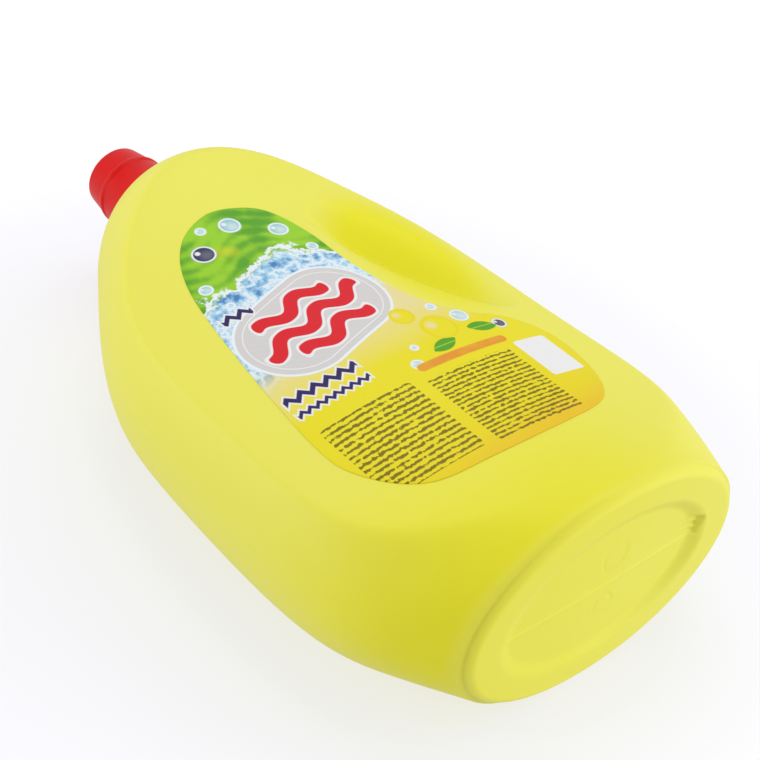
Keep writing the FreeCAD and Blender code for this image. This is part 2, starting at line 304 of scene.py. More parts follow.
def thread(radius, height, foot, pitch, turns, middle, count=260):
    """A helical ridge: its rounded section, six points, carried along r(a), z = foot + pitch a / 2 pi.

    The section's height grows and fades over the first and last twelfth of the turns.
    """
    share = np.linspace(0, 1, count)[:, None]
    angle = share * turns * 2 * math.pi
    grow = smooth_step(share * 12) * smooth_step((1 - share) * 12)
    section = np.array([(-0.3, -1.1), (0.6, -0.75), (1.0, -0.3), (1.0, 0.3), (0.6, 0.75), (-0.3, 1.1)])
    out = radius + np.where(section[:, 0] < 0, section[:, 0], section[:, 0] * grow) * height
    up = foot + pitch * angle / (2 * math.pi) + section[:, 1] * (0.35 + 0.65 * grow)
    return np.stack([middle + out * np.cos(angle), -out * np.sin(angle), up], -1)


# Meshes

def grid_faces(rows, columns, first=0, wrap=True):
    """Quads between neighbouring rows and columns of a grid of numbered points."""
    index = first + np.arange(rows * columns).reshape(rows, columns)
    beside = np.roll(index, -1, 1)
    if not wrap:
        index, beside = index[:, :-1], beside[:, :-1]
    return np.stack([index[:-1], beside[:-1], beside[1:], index[1:]], -1).reshape(-1, 4)


def fan_faces(row, pole):
    """Triangles from a closed row of point numbers to a pole, doubled at the pole to stay four wide."""
    return np.stack([row, np.roll(row, -1), np.full_like(row, pole), np.full_like(row, pole)], -1)


def closed_shell(rows):
    """Points and faces of a grid that wraps round, each end drawn together in a pole."""
    count, columns = rows.shape[:2]
    points = np.concatenate([rows.reshape(-1, 3), [rows[0].mean(0), rows[-1].mean(0)]])
    last = count * columns
    index = np.arange(last).reshape(count, columns)
    faces = [grid_faces(count, columns), fan_faces(index[0][::-1], last), fan_faces(index[-1], last + 1)]
    return points, outward(points, np.concatenate(faces))


def outward(points, faces):
    """Faces of a closed shell, turned round if the sum of p0 . (p1 x p2) over its triangles is negative."""
    a, b, c, d = [points[faces[:, k]] for k in range(4)]
    volume = (a * np.cross(b, c)).sum() + (a * np.cross(c, d)).sum()
    return faces if volume > 0 else faces[:, [1, 0, 3, 2]]


def new_piece(name, shells, body, nodes, material):
    """Join shells of millimetre points into one smooth mesh object that rides on a body."""
    points, faces, first = [], [], 0
    for shell_points, shell_faces in shells:
        points.append(shell_points)
        faces.append(shell_faces + first)
        first += len(shell_points)
    corners = np.concatenate(faces)
    polygons = [face[:3] if face[2] == face[3] else face for face in corners.tolist()]
    mesh = bpy.data.meshes.new(name)
    mesh.from_pydata((np.concatenate(points) * MM).tolist(), [], polygons)
    mesh.validate()
    mesh.polygons.foreach_set("use_smooth", np.ones(len(mesh.polygons), bool))
    mesh.materials.append(material)
    piece = bpy.data.objects.new(name, mesh)
    bpy.context.scene.collection.objects.link(piece)
    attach(piece, body)
    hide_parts(*nodes)
    return piece


# Materials

class Field:
    """A shader socket that takes part in Python expressions; each operator adds one Math node."""

    def __init__(self, tree, socket):
        self.tree, self.socket = tree, socket

    def node(self, kind, settings=None, out=0, **inputs):
        """Add a node: settings first, then values or links by input name or i0, i1 and so on."""
        node = self.tree.nodes.new(kind)
        for key, value in (settings or {}).items():
            if key == "stops":
                fill_ramp(node.color_ramp, value)
            else:
                setattr(node, key, value)
        for key, value in inputs.items():
            socket = node.inputs[int(key[1:])] if key[0] == "i" and key[1:].isdigit() else node.inputs[key]
            if isinstance(value, Field):
                self.tree.links.new(value.socket, socket)
            else:
                socket.default_value = value
        return Field(self.tree, node.outputs[out])

    def math(self, operation, *values, clamp=False):
        inputs = {"i%d" % k: value for k, value in enumerate(values)}
        return self.node("ShaderNodeMath", {"operation": operation, "use_clamp": clamp}, **inputs)

    def __add__(self, other):
        return self.math("ADD", self, other)

    def __sub__(self, other):
        return self.math("SUBTRACT", self, other)

    def __mul__(self, other):
        return self.math("MULTIPLY", self, other)

    def __truediv__(self, other):
        return self.math("DIVIDE", self, other)

    def __rsub__(self, other):
        return self.math("SUBTRACT", other, self)

    def __rtruediv__(self, other):
        return self.math("DIVIDE", other, self)

    __radd__ = __add__
    __rmul__ = __mul__

    def __abs__(self):
        return self.math("ABSOLUTE", self)

    def __pow__(self, power):
        return self.math("POWER", self, power)

    def clamp(self):
        return self.math("ADD", self, 0.0, clamp=True)

    def sine(self):
        return self.math("SINE", self)

    def lower(self, other):
        return self.math("MINIMUM", self, other)

    def upper(self, other):
        return self.math("MAXIMUM", self, other)

    def smooth(self, low, high):
        """Smooth step of this value from low to high."""
        settings = {"interpolation_type": "SMOOTHSTEP"}
        return self.node("ShaderNodeMapRange", settings, i0=self, i1=low, i2=high)

    def mix(self, colour_a, colour_b):
        """Colour a where this value is 0 and colour b where it is 1."""
        settings = {"data_type": "RGBA", "clamp_factor": True}
        return self.node("ShaderNodeMix", settings, out=2, i0=self, i6=colour_a, i7=colour_b)


def fill_ramp(ramp, stops):
    """Set a ramp's stops from (position, colour) pairs."""
    while len(ramp.elements) < len(stops):
        ramp.elements.new(1.0)
    for element, (position, colour) in zip(ramp.elements, stops):
        element.position = position
        element.color = colour


def rgba(colour):
    """A colour with full alpha, as the sockets take it."""
    return (*tuple(colour)[:3], 1.0)


class Finish:
    """A new material with its Principled shader, and the object's own coordinates in millimetres."""

    def __init__(self, name):
        self.material = bpy.data.materials.new(name)
        self.material.use_nodes = True
        tree = self.material.node_tree
        self.shader = next(node for node in tree.nodes if node.type == "BSDF_PRINCIPLED")
        start = Field(tree, None)
        self.place = start.node("ShaderNodeTexCoord", out=3)
        split = start.node("ShaderNodeSeparateXYZ", i0=self.place)
        outputs = split.socket.node.outputs
        self.x, self.y, self.z = [Field(tree, outputs[k]) * 1000.0 for k in range(3)]

    def noise(self, scale, detail=2.0, roughness=0.5):
        """Noise between 0 and 1 over Object coordinates; scale is in waves per metre."""
        settings = {"noise_dimensions": "3D"}
        return self.place.node("ShaderNodeTexNoise", settings, Vector=self.place, Scale=scale,
                               Detail=detail, Roughness=roughness)

    def set(self, **values):
        """Set the shader's sockets; an underscore in a name stands for a space."""
        for key, value in values.items():
            socket = self.shader.inputs[key.replace("_", " ")]
            if isinstance(value, Field):
                value.tree.links.new(value.socket, socket)
            else:
                socket.default_value = value
        return self.material

    def bump(self, height, distance, strength=1.0):
        """A bump of a height between 0 and 1, of this distance in metres."""
        return height.node("ShaderNodeBump", Strength=strength, Distance=distance, Height=height)


def moulded_yellow(colours):
    """Blow-moulded polyethylene: satin with a fine orange peel, with painted shade as a deeper yellow in the
    grip hollow and the low corner by the foot.
    """
    finish = Finish("moulded_yellow")
    cloud = finish.noise(14.0, 3.0) - 0.5
    # Painted shade: the grip hollow, where little light reaches, gets the deeper yellow.
    grip_x, grip_z = (finish.x - GRIP_X) / 26.0, (finish.z - GRIP_Z) / 52.0
    grip = 1.0 - (grip_x * grip_x + grip_z * grip_z).smooth(0.35, 1.25)
    # Painted shade: the low left corner of the body by the foot, where shade falls near the ground.
    foot = (1.0 - finish.z.smooth(6.0, 95.0)) * (1.0 - finish.x.smooth(-20.0, 70.0))
    # The painted shade is halved on the base and the heel, so the paler heel stands in for a painted highlight.
    foot = foot * (finish.z.smooth(3.0, 9.0) * 0.55 + 0.45)
    # The painted shade masks plus a random cloud of tone choose between the body yellow and the shaded yellow.
    depth = (grip.upper(foot * 0.85) + cloud * 0.2).clamp()
    colour = depth.mix(rgba(colours.body), rgba(colours.shaded_body))
    peel = finish.noise(900.0, 2.0, 0.6)
    wave = finish.noise(60.0, 2.0)
    height = peel * 0.35 + wave * 0.65
    rough = 0.42 + (finish.noise(220.0, 3.0) - 0.5) * 0.12
    return finish.set(Base_Color=colour, Roughness=rough, IOR=1.52, Specular_IOR_Level=0.22,
                      Normal=finish.bump(height, 0.00006))


def moulded_red(colours):
    """Injection-moulded cap plastic: deeper colour, smoother, with faint flow streaks up the skirt."""
    finish = Finish("moulded_red")
    streak = finish.noise(120.0, 3.0)
    colour = streak.mix(rgba(Vector(colours.cap) * 0.93), rgba(Vector(colours.cap) * 1.07))
    rough = 0.36 + (finish.noise(400.0, 2.0) - 0.5) * 0.12
    peel = finish.noise(1100.0, 2.0, 0.6)
    return finish.set(Base_Color=colour, Roughness=rough, IOR=1.5, Specular_IOR_Level=0.15,
                      Normal=finish.bump(peel, 0.00003))


def liner_foam(colours):
    """Pressed foam sheet: matt, with fine closed cells."""
    finish = Finish("liner_foam")
    cells = finish.place.node("ShaderNodeTexVoronoi", {"feature": "F1"}, Vector=finish.place, Scale=2600.0)
    colour = cells.mix(rgba(colours.liner), rgba(Vector(colours.liner) * 0.9))
    return finish.set(Base_Color=colour, Roughness=0.85, Normal=finish.bump(cells, 0.00008))


def edge(distance, soft=0.35):
    """1 inside a shape whose signed distance in millimetres is negative, with a soft edge."""
    return (0.5 - distance / soft).clamp()


def disc(x, z, middle, radius):
    """Signed distance of a round spot."""
    dx, dz = x - middle[0], z - middle[1]
    return (dx * dx + dz * dz) ** 0.5 - radius


def bar(x, z, middle, half, lean=0.0, rounding=1.0):
    """Signed distance of a rounded bar of half sizes, leaning by an angle in degrees."""
    turn = math.radians(lean)
    dx, dz = x - middle[0], z - middle[1]
    along = abs(dx * math.cos(turn) + dz * math.sin(turn)) - (half[0] - rounding)
    across = abs(dz * math.cos(turn) - dx * math.sin(turn)) - (half[1] - rounding)
    a, b = along.upper(0.0), across.upper(0.0)
    return (a * a + b * b) ** 0.5 + along.upper(across).lower(0.0) - rounding


def printed_film(colours):
    """The label's print: a leafy field, a splash, a pale oval with red waves, drops and fine broken lines."""
    finish = Finish("printed_film")
    x, z = finish.x, finish.z
    stops = [(0.0, rgba(colours.amber)), (0.07, rgba(colours.gold)), (0.24, rgba(colours.lemon)),
             (0.36, rgba(colours.lemon)), (0.5, rgba(colours.cream)), (1.0, rgba(colours.cream))]
    drift = finish.noise(38.0, 3.0) - 0.5
    level = (z - 46.0 - x * 0.12) / 184.0 + drift * 0.06
    colour = level.node("ShaderNodeValToRGB", {"stops": stops}, i0=level)

    turn = math.radians(PANEL_LEAN)
    dx, dz = x - PANEL_MIDDLE[0], z - PANEL_MIDDLE[1]
    u = dx * math.cos(turn) + dz * math.sin(turn)
    v = dz * math.cos(turn) - dx * math.sin(turn)
    oval = bar(x, z, PANEL_MIDDLE, (37.0, 23.0), PANEL_LEAN, 22.5)

    colour = leafy_field(finish, colour, colours)
    colour = splash(finish, colour, oval, v, colours)
    colour = edge(oval - 1.2).mix(colour, rgba(colours.foam))
    hatch = ((u + v) * 1.5).sine() * 0.04 + 0.98
    colour = edge(oval).mix(colour, hatch.mix(rgba(colours.white), rgba(colours.panel)))
    colour = edge(abs(oval + 3.0) - 0.25).mix(colour, rgba(colours.white))
    colour = red_waves(u, v, colour, colours)

    for (middle_x, low, reach), rise, half in ZIGZAGS:
        peak = (x + 70.0).math("PINGPONG", x + 70.0, rise)
        line = (abs(z - low - peak * 1.1) - half) * 0.7
        line = line.upper(abs(x - middle_x) - reach)
        colour = edge(line - 0.8).mix(colour, rgba(colours.white))
        colour = edge(line).mix(colour, rgba(colours.navy))

    for number, (middle, radius) in enumerate(BUBBLES):
        tint, haze = (colours.navy, 0.1) if number in NAVY_BUBBLES else (colours.water, 0.5)
        colour = bubble(x, z, middle, radius, colour, tint, haze, colours)
    colour = fruit_drops(x, z, colour, colours)

    stripe = bar(x, z, STRIPE_MIDDLE, STRIPE_HALF, 0.0, STRIPE_HALF[1])
    colour = edge(stripe).mix(colour, drift.smooth(-0.2, 0.2).mix(rgba(colours.orange), rgba(colours.amber)))
    for block, spacing in LINE_BLOCKS:
        colour = fine_lines(finish, colour, colours.ink, block, spacing)
    card = bar(x, z, CARD_MIDDLE, CARD_HALF, 0.0, 1.5)
    colour = edge(card).mix(colour, rgba(colours.white))

    rough = 0.34 + (finish.noise(300.0, 2.0) - 0.5) * 0.1
    return finish.set(Base_Color=colour, Roughness=rough, IOR=1.5, Specular_IOR_Level=0.12,
                      Normal=finish.bump(finish.noise(500.0, 2.0), 0.00003))


def leafy_field(finish, colour, colours):
    """Green over the label's head, with light patches and streaks that bend with a low wave."""
    x, z = finish.x, finish.z
    shore = 168.0 + x * 0.12 + (x * 0.11).sine() * 3.0
    patch = finish.noise(48.0, 4.0)
    blades = ((z + (x * 0.12).sine() * 5.0) * 0.9).sine() * 0.06
    green = (patch + blades).smooth(0.34, 0.62).mix(rgba(colours.leaf), rgba(colours.leaf_light))
    sun = (finish.noise(26.0, 2.0) + z * 0.002).smooth(1.0, 1.15)
    green = sun.mix(green, rgba(colours.lemon))
    return edge(shore - z, 6.0).mix(colour, green)


def splash(finish, colour, oval, v, colours):
    """Water thrown up round the head of the oval: a torn band with pale and deep blue streaks."""
    torn = (finish.noise(52.0, 5.0, 0.65) - 0.5) * 34.0
    over = v.smooth(-14.0, 2.0)
    band = edge(abs(oval - 6.0 + torn * 0.7) - 7.5, 1.4) * over
    streak = finish.noise(120.0, 5.0, 0.6)
    stops = [(0.34, rgba(colours.blue)), (0.44, rgba(colours.water)), (0.52, rgba(colours.foam)),
             (0.58, rgba(colours.water)), (0.68, rgba(colours.blue))]
    water = streak.node("ShaderNodeValToRGB", {"stops": stops}, i0=streak)
    spray = edge(abs(oval - 15.0 + torn) - 1.3, 1.0) * over
    colour = band.mix(colour, water)
    return spray.mix(colour, rgba(colours.foam))


def red_waves(u, v, colour, colours):
    """Three bold waves across the oval: |v - row - f(u)| / sqrt(1 + f'(u)^2) under half the stroke."""
    swing, pitch, half_stroke = 3.0, 0.27, 3.0
    wave = (u * pitch).sine() * swing
    slope = (u * pitch + math.pi / 2).sine() * (swing * pitch)
    steep = 1.0 / (slope * slope + 1.0) ** 0.5
    for row, reach in WAVE_ROWS:
        across = abs(v - row - wave) * steep
        past = (abs(u) - (reach - half_stroke)).upper(0.0)
        stroke = (across * across + past * past) ** 0.5 - half_stroke
        colour = edge(stroke - 1.2).mix(colour, rgba(colours.white))
        colour = edge(stroke).mix(colour, rgba(colours.red))
    return colour


def fruit_drops(x, z, colour, colours):
    """Yellow drops with a shine, on pointed leaves that are the overlap of two discs."""
    for middle, lean in LEAVES:
        upper = disc(x, z, (middle[0], middle[1] + 6.0 * lean), 9.5)
        lower = disc(x, z, (middle[0] + 3.0, middle[1] - 6.0 * lean), 9.5)
        leaf = upper.upper(lower)
        colour = edge(leaf).mix(colour, rgba(colours.leaf))
        colour = edge(abs(z - middle[1]) - 0.3).lower(edge(leaf)).mix(colour, rgba(colours.leaf_light))
    for middle, radius in DROPS:
        spot = disc(x, z, middle, radius)
        colour = edge(spot).mix(colour, rgba(colours.gold))
        colour = edge(spot + 1.2).mix(colour, rgba(colours.lemon))
        shine = disc(x, z, (middle[0] - radius * 0.3, middle[1] + radius * 0.3), radius * 0.3)
        colour = edge(shine, 1.6).mix(colour, rgba(colours.cream))
    return colour


def bubble(x, z, middle, radius, colour, tint, haze, colours):
    """A soap bubble: a pale rim, a tinted middle and a small bright glint."""
    spot = disc(x, z, middle, radius)
    colour = (edge(spot) * (1.0 - haze * 0.5)).mix(colour, rgba(tint))
    colour = (edge(abs(spot + 0.5) - 0.45) * 0.95).mix(colour, rgba(colours.foam))
    clear = edge(disc(x, z, (middle[0] + radius * 0.15, middle[1] - radius * 0.2), radius * 0.5), 2.5)
    colour = (clear * haze).mix(colour, rgba(colours.foam))
    glint = disc(x, z, (middle[0] - radius * 0.35, middle[1] + radius * 0.35), radius * 0.22)
    return edge(glint, 0.7).mix(colour, rgba(colours.white))


def fine_lines(finish, colour, ink, block, spacing):
    """A block of fine level lines, broken by noise into dashes of uneven length."""
    low, high, left, right = block
    x, z = finish.x, finish.z
    middle, half = ((left + right) / 2, (low + high) / 2), ((right - left) / 2, (high - low) / 2)
    inside = edge(bar(x, z, middle, half, 0.0, 2.0))
    rows = ((z + (x * 1.3).sine() * 0.1) * (2 * math.pi / spacing)).sine()
    breaks = (finish.noise(560.0, 2.0) - 0.5) * 5.0
    return (inside * (rows + breaks).smooth(-0.1, 0.6) * 0.85).mix(colour, rgba(ink))


# Settings that a user would change

def length(name, description, default):
    return bpy.props.FloatProperty(name=name, description=description, default=default * MM, min=0.0,
                                   precision=5, unit="LENGTH")


def colour(name, description, default):
    return bpy.props.FloatVectorProperty(name=name, description=description, default=default, size=3,
                                         min=0.0, max=1.0, subtype="COLOR")


def lamp_power(name, description, default):
    return bpy.props.FloatProperty(name=name, description=description, default=default, min=0.0, unit="POWER")


class BottleSizes(bpy.types.PropertyGroup):
    wall: length("Wall", "Thickness of the blown wall", 1.2)
    heel: length("Heel radius", "Rounding between the base and the sides", 4.0)
    grip: length("Grip depth", "How deep the finger grip is pressed in", 15.0)
    hollow: length("Base hollow", "How deep the base is pressed in", 3.8)
    seam: length("Seam height", "What the parting line stands proud", 0.5)
    pitch: length("Thread pitch", "Rise of the thread in one turn", 4.23)
    bead: length("Cap bead", "What the bead stands out of the cap", 0.55)
    columns: bpy.props.IntProperty(name="Columns", description="Points around the body", default=250, min=48)


class BottleColours(bpy.types.PropertyGroup):
    body: colour("Body", "Moulded body", (0.815, 0.78, 0.10))
    # Painted shade: the deeper yellow that the body material lays into the grip hollow and the low corner by the
    # foot.
    shaded_body: colour("Shaded body", "Painted shade in the grip hollow and the low corner by the foot", (0.80, 0.755, 0.003))
    cap: colour("Cap", "Screw cap", (0.66, 0.004, 0.003))
    liner: colour("Liner", "Foam in the cap", (0.82, 0.82, 0.79))
    leaf: colour("Leaf", "Dark green of the leafy field", (0.10, 0.36, 0.02))
    leaf_light: colour("Light leaf", "Light green of the leafy field", (0.31, 0.62, 0.025))
    water: colour("Water", "Pale blue of the splash", (0.36, 0.62, 0.82))
    blue: colour("Blue", "Deeper blue in the splash", (0.07, 0.22, 0.50))
    foam: colour("Foam", "White of the splash and the bubbles", (0.80, 0.86, 0.90))
    panel: colour("Panel", "Grey-white oval panel", (0.64, 0.62, 0.61))
    red: colour("Red", "Bold waves on the panel", (0.70, 0.012, 0.022))
    navy: colour("Navy", "Dark blue zigzags", (0.03, 0.018, 0.11))
    cream: colour("Cream", "Pale middle of the ground", (0.80, 0.70, 0.33))
    lemon: colour("Lemon", "Yellow of the ground and the drops", (0.81, 0.71, 0.015))
    gold: colour("Gold", "Golden lower ground", (0.80, 0.66, 0.01))
    amber: colour("Amber", "Darker rim at the foot", (0.82, 0.54, 0.02))
    orange: colour("Orange", "Thin stripe", (0.76, 0.24, 0.03))
    ink: colour("Ink", "Fine broken lines", (0.11, 0.075, 0.008))
    white: colour("White", "Blank card and outlines", (0.82, 0.82, 0.82))


class BottleStudio(bpy.types.PropertyGroup):
    left: lamp_power("Left lamp", "Soft lamp level with the left flank", 5.0)
    right: lamp_power("Right lamp", "Soft lamp before the base and the right flank", 5.4)
    top: lamp_power("Top lamp", "Soft lamp over the front panel and the cap", 4.0)
    side: lamp_power("Side lamp", "Soft lamp over the right edge of the panel", 1.1)
    ambient: bpy.props.FloatProperty(name="Ambient", description="Strength of the even light all round",
                                     default=0.68, min=0.0)


# Operators

def settings():
    """The three setting groups of the scene."""
    scene = bpy.context.scene
    return scene.bottle_sizes, scene.bottle_colours, scene.bottle_studio


def outer_rows(sizes, angle):
    """Rows of the body's outer side from the middle of the base up to the neck's tube.

    The base is s times the heel's inner line about the neck's axis, and the heel a quarter circle.
    """
    heel, grip = sizes.heel / MM, sizes.grip / MM
    rim = skin(0.0, angle, grip, heel, 0.0)[..., :2]
    share = np.concatenate([[0.004], np.linspace(0.03, 0.6, 20), np.linspace(0.62, 0.86, 32),
                            [0.89, 0.92, 0.95, 0.98]])
    middle = np.array((NECK_X, 0.0))
    flat = middle + (rim - middle) * share[:, None, None]
    height = base_height(flat[..., 0], flat[..., 1], sizes.hollow / MM, sizes.seam / MM)
    base = np.concatenate([flat, height[..., None]], -1)
    turn = np.linspace(0, math.pi / 2, 9)[:-1, None]
    round_rows = skin(0.0 * turn, angle, grip, heel * (1 - np.sin(turn)), heel * (1 - np.cos(turn)))
    start, stop = heel, tube_start()
    along = np.linspace(start, stop, 150)[:, None]
    side = skin(along, angle, grip)
    seam = sizes.seam / MM * 0.25 * np.exp(-(side[..., 1] / 0.45) ** 2)
    side[..., 0] += seam * np.sign(np.cos(angle))
    return np.concatenate([base, round_rows, side])


def tube_start():
    """Distance along the outline at which the dome has drawn in to the neck's tube."""
    table = np.linspace(0, outline_knots()[-1], 4000)
    _, left, right, _, _ = stretch(table)
    return np.interp(-(NECK_RADIUS + 0.5), -(left + right) / 2, table)


class BOTTLE_OT_body(bpy.types.Operator):
    """Build the hollow body with its neck, collar and thread"""
    bl_idname = "bottle.body"
    bl_label = "Body"

    def execute(self, context):
        sizes, colours, _ = settings()
        angle = column_angles(sizes.columns)
        wall, grip = sizes.wall / MM, sizes.grip / MM
        outer = outer_rows(sizes, angle)
        top = stretch(tube_start())[0]
        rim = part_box("neck")[1].z / MM
        bore = NECK_RADIUS - NECK_WALL
        collar_foot = STATIONS[-1, 0] + COLLAR_RISE
        collar_top, collar_radius = collar_foot + COLLAR_THICKNESS, NECK_RADIUS + COLLAR_PROUD
        neck = rounded([
            (NECK_RADIUS + 0.3, top + 0.1, 0), (NECK_RADIUS, top + 0.7, 0.6), (NECK_RADIUS, collar_foot, 0.4),
            (collar_radius, collar_foot, 0.4), (collar_radius, collar_top, 0.5),
            (NECK_RADIUS, collar_top, 0.4), (NECK_RADIUS, rim, 0.5), (bore, rim, 0.4),
            (bore, STATIONS[-1, 0] - wall, 0.4), (EYE_RADIUS, STATIONS[-1, 0] - wall - 0.3, 0)], 4)
        along = np.linspace(tube_start() - 2.0, sizes.heel / MM, 40)[:, None]
        inner = skin(along, angle, grip, wall)
        inner[..., 2] = np.minimum(inner[..., 2], STATIONS[-1, 0] - wall - 0.4)
        floor = sizes.hollow / MM + 2 * wall
        share = np.linspace(0.9, 0.05, 6)[:, None, None]
        heel_line = skin(0.0, angle, grip, sizes.heel / MM, floor)
        middle = np.array((NECK_X, 0.0, floor))
        bottom = middle + (heel_line - middle) * share
        rows = np.concatenate([outer, revolve(neck, angle, NECK_X), inner, bottom])
        shells = [closed_shell(rows)]
        helix = thread(NECK_RADIUS, 1.2, collar_foot + 6.5, sizes.pitch, 2.5, NECK_X)
        shells.append(closed_shell(helix))
        new_piece("body", shells, "bottle", ("bottle", "neck"), moulded_yellow(colours))
        return {"FINISHED"}


class BOTTLE_OT_cap(bpy.types.Operator):
    """Build the tapered screw cap with its bead and inner thread"""
    bl_idname = "bottle.cap"
    bl_label = "Screw cap"

    def execute(self, context):
        sizes, colours, _ = settings()
        low, high = [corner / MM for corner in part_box("screw_cap")]
        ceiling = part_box("cap_liner")[1].z / MM + 0.25
        axis = (low.x + high.x) / 2
        foot_radius = (high.x - low.x) / 2
        bead = high.z - BEAD_DROP
        bead_radius = CAP_TOP_RADIUS + CAP_TAPER * BEAD_DROP
        proud = sizes.bead / MM

        def side(z, proud=0.0):
            """Taper down to the bead, then a power of the way from the bead to the foot."""
            flare = np.clip((bead - z) / (bead - low.z), 0, 1) ** CAP_FLARE_POWER
            taper = CAP_TAPER * (high.z - max(z, bead))
            return CAP_TOP_RADIUS + taper + (foot_radius - bead_radius) * flare + proud

        skirt = [(side(z), z, 1.0) for z in np.linspace(bead - 3.0, low.z + 1.2, 8)]
        lining = [(radius - CAP_SKIRT_WALL, z, 1.0) for radius, z, _ in skirt[::-1]]
        outline = rounded([
            (0.3, high.z - 0.5, 0), (CAP_TOP_RADIUS - 3.2, high.z - 0.5, 0.4),
            (CAP_TOP_RADIUS - 2.7, high.z, 0.4), (CAP_TOP_RADIUS, high.z, 1.3),
            (side(bead + 1.9), bead + 1.9, 0.8), (side(bead + 0.8, proud), bead + 0.8, 0.6),
            (side(bead - 0.8, proud), bead - 0.8, 0.6), (side(bead - 1.9), bead - 1.9, 0.8), *skirt,
            (foot_radius, low.z + 0.4, 0.4), (foot_radius - 0.4, low.z, 0.3),
            (foot_radius - CAP_SKIRT_WALL, low.z, 0.4), *lining,
            (CAP_BORE_RADIUS, bead - 1.2, 0.5), (CAP_BORE_RADIUS, ceiling, 0.5), (0.3, ceiling, 0)], 6)
        angle = np.linspace(0, 2 * math.pi, 160, endpoint=False)
        shells = [closed_shell(revolve(outline, angle, axis))]
        helix = thread(CAP_BORE_RADIUS, -1.0, bead + 0.5, sizes.pitch, 2.2, axis)
        shells.append(closed_shell(helix))
        new_piece("screw_cap_moulding", shells, "cap", ("screw_cap",), moulded_red(colours))
        return {"FINISHED"}


class BOTTLE_OT_liner(bpy.types.Operator):
    """Build the foam disc that seals the neck's rim"""
    bl_idname = "bottle.liner"
    bl_label = "Cap liner"

    def execute(self, context):
        _, colours, _ = settings()
        low, high = [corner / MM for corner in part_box("cap_liner")]
        axis, radius = (low.x + high.x) / 2, (high.x - low.x) / 2
        outline = rounded([(0.3, high.z, 0), (radius, high.z, 0.25), (radius, low.z, 0.25), (0.3, low.z, 0)], 4)
        angle = np.linspace(0, 2 * math.pi, 96, endpoint=False)
        new_piece("foam_liner", [closed_shell(revolve(outline, angle, axis))], "liner",
                  ("cap_liner",), liner_foam(colours))
        return {"FINISHED"}


class BOTTLE_OT_label(bpy.types.Operator):
    """Build the printed film on the front panel"""
    bl_idname = "bottle.label"
    bl_label = "Front label"

    def execute(self, context):
        sizes, colours, _ = settings()
        grip = sizes.grip / MM
        outline = closed_curve(LABEL_OUTLINE, 16)
        share = np.concatenate([np.linspace(0.03, 0.97, 48), [0.988, 0.996, 1.0]])[:, None, None]
        flat = LABEL_MIDDLE + (outline - LABEL_MIDDLE) * share
        depth = front_skin(flat[..., 0], flat[..., 1], grip)
        under, over = LABEL_LIFT
        edge_fall = np.array([0.0] * 48 + [0.0, 0.03, 0.12])[:, None]
        front = np.stack([flat[..., 0], -(depth + over - edge_fall), flat[..., 1]], -1)
        back = np.stack([flat[..., 0], -(depth + under), flat[..., 1]], -1)[::-1]
        new_piece("label_film", [closed_shell(np.concatenate([front, back]))], "bottle",
                  ("front_label",), printed_film(colours))
        return {"FINISHED"}


def closed_curve(points, steps):
    """Smooth closed curve through points: Catmull-Rom pieces, each the cubic through its two middle points."""
    share = np.linspace(0, 1, steps, endpoint=False)[:, None, None]
    before, start, stop, after = [np.roll(points, k, 0)[None] for k in (1, 0, -1, -2)]
    curve = 0.5 * (2 * start + (stop - before) * share + (2 * before - 5 * start + 4 * stop - after) * share ** 2
                   + (3 * start - before - 3 * stop + after) * share ** 3)
    return curve.transpose(1, 0, 2).reshape(-1, 2)


def sheet(name, corners):
    """A one-sided white sheet of the stage: seen and shaded from its front only, shading nothing itself, and
    glowing less near the bottle as painted shade.
    """
    mesh = bpy.data.meshes.new(name)
    mesh.from_pydata(corners, [], [(0, 1, 2, 3)])
    piece = bpy.data.objects.new(name, mesh)
    bpy.context.scene.collection.objects.link(piece)
    material = bpy.data.materials.new(name)
    material.use_nodes = True
    tree = material.node_tree
    tree.nodes.clear()
    start = Field(tree, None)
    # The diffuse colour is a little bluish, to cancel the yellow light the bottle throws onto the sheet.
    white = start.node("ShaderNodeBsdfDiffuse", Color=(0.77, 0.775, 0.9, 1.0))
    place = start.node("ShaderNodeTexCoord", out=3)
    middle = (0.0, 0.0, (CAD_BOX[0].z + CAD_BOX[1].z) / 2)
    away = place.node("ShaderNodeVectorMath", {"operation": "DISTANCE"}, out=1, i0=place, i1=middle)
    # Painted shade: the glow is weaker near the bottle, so the ground reads darker round it, on top of the real
    # shadow it receives.
    glow = away.smooth(*GLOW_REACH) * (GLOW_FAR - GLOW_NEAR) + GLOW_NEAR
    light = start.node("ShaderNodeEmission", Color=(1.0, 1.0, 1.0, 1.0), Strength=glow)
    seen = start.node("ShaderNodeLightPath", out=0)
    shown = start.node("ShaderNodeMixShader", i0=seen * 0.62, i1=white, i2=light)
    clear = start.node("ShaderNodeBsdfTransparent")
    behind = start.node("ShaderNodeNewGeometry", out=6)
    surface = start.node("ShaderNodeMixShader", i0=behind, i1=shown, i2=clear)
    out = tree.nodes.new("ShaderNodeOutputMaterial")
    tree.links.new(surface.socket, out.inputs["Surface"])
    mesh.materials.append(material)
    piece.visible_shadow = piece.visible_diffuse = piece.visible_glossy = False
    return piece


def lamp(name, power, place, target, size):
    """A square area lamp that points at a target."""
    data = bpy.data.lights.new(name, "AREA")
    data.energy, data.size, data.shape = power, size, "SQUARE"
    lamp_object = bpy.data.objects.new(name, data)
    lamp_object.location = place
    lamp_object.rotation_euler = (Vector(target) - Vector(place)).to_track_quat("-Z", "Y").to_euler()
    bpy.context.scene.collection.objects.link(lamp_object)


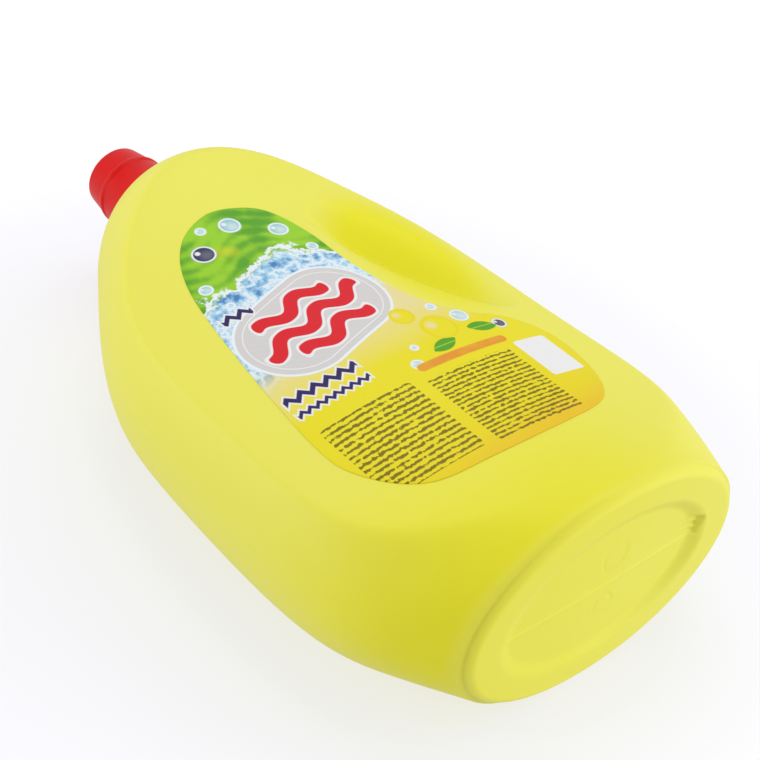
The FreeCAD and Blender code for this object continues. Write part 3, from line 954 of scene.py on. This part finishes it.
class BOTTLE_OT_stage(bpy.types.Operator):
    """Set up the pale ground, the lamps, the even light and the camera"""
    bl_idname = "bottle.stage"
    bl_label = "Stage"

    def execute(self, context):
        _, _, studio = settings()
        scene = context.scene
        low, high = CAD_BOX
        wide, gap = 3.0, 0.0004
        back = high.y + gap
        sheet("ground", [(-wide, back, -wide), (wide, back, -wide), (wide, back, wide), (-wide, back, wide)])
        sheet("floor", [(-wide, -wide, -gap), (wide, -wide, -gap), (wide, wide, -gap), (-wide, wide, -gap)])
        middle = (0.0, 0.0, (low.z + high.z) / 2)
        for name, direction in LAMP_DIRECTIONS.items():
            place = Vector(middle) + Vector(direction) * LAMP_DISTANCE
            lamp(name, getattr(studio, name), place, middle, LAMP_SIZE)
        world = bpy.data.worlds.new("even_light")
        world.use_nodes = True
        tree = world.node_tree
        seen = Field(tree, None).node("ShaderNodeLightPath", out=0)
        strength = seen * (1.0 - studio.ambient) + studio.ambient
        tree.nodes["Background"].inputs["Color"].default_value = (1.0, 1.0, 1.0, 1.0)
        tree.links.new(strength.socket, tree.nodes["Background"].inputs["Strength"])
        scene.world = world
        data = bpy.data.cameras.new("camera")
        data.sensor_width = SENSOR_MM
        data.lens = FOCAL_PIXELS / PHOTO_WIDTH * SENSOR_MM
        data.clip_start, data.clip_end = 0.01, 20.0
        camera = bpy.data.objects.new("camera", data)
        turn = Matrix(CAMERA_AXES).transposed().to_4x4()
        camera.matrix_world = Matrix.Translation(Vector(CAMERA_PLACE) * MM) @ turn
        scene.collection.objects.link(camera)
        scene.camera = camera
        scene.view_settings.view_transform = "Standard"
        return {"FINISHED"}


class BOTTLE_PT_panel(bpy.types.Panel):
    """Lists the bottle's settings and pieces"""
    bl_idname = "BOTTLE_PT_panel"
    bl_label = "Dish soap bottle"
    bl_space_type = "VIEW_3D"
    bl_region_type = "UI"
    bl_category = "Bottle"

    def draw(self, context):
        for group in settings():
            box = self.layout.box()
            for name in group.bl_rna.properties.keys():
                if name not in {"rna_type", "name"}:
                    box.prop(group, name)
        for operator in OPERATORS:
            self.layout.operator(operator.bl_idname)


OPERATORS = (BOTTLE_OT_stage, BOTTLE_OT_body, BOTTLE_OT_cap, BOTTLE_OT_liner, BOTTLE_OT_label)
CLASSES = (BottleSizes, BottleColours, BottleStudio, *OPERATORS, BOTTLE_PT_panel)


def register():
    for kind in CLASSES:
        bpy.utils.register_class(kind)
    bpy.types.Scene.bottle_sizes = bpy.props.PointerProperty(type=BottleSizes)
    bpy.types.Scene.bottle_colours = bpy.props.PointerProperty(type=BottleColours)
    bpy.types.Scene.bottle_studio = bpy.props.PointerProperty(type=BottleStudio)


def unregister():
    del bpy.types.Scene.bottle_studio
    del bpy.types.Scene.bottle_colours
    del bpy.types.Scene.bottle_sizes
    for kind in reversed(CLASSES):
        bpy.utils.unregister_class(kind)


def main():
    """Register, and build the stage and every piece."""
    register()
    for operator in OPERATORS:
        group, name = operator.bl_idname.split(".")
        getattr(getattr(bpy.ops, group), name)()


if __name__ == "__main__":
    main()
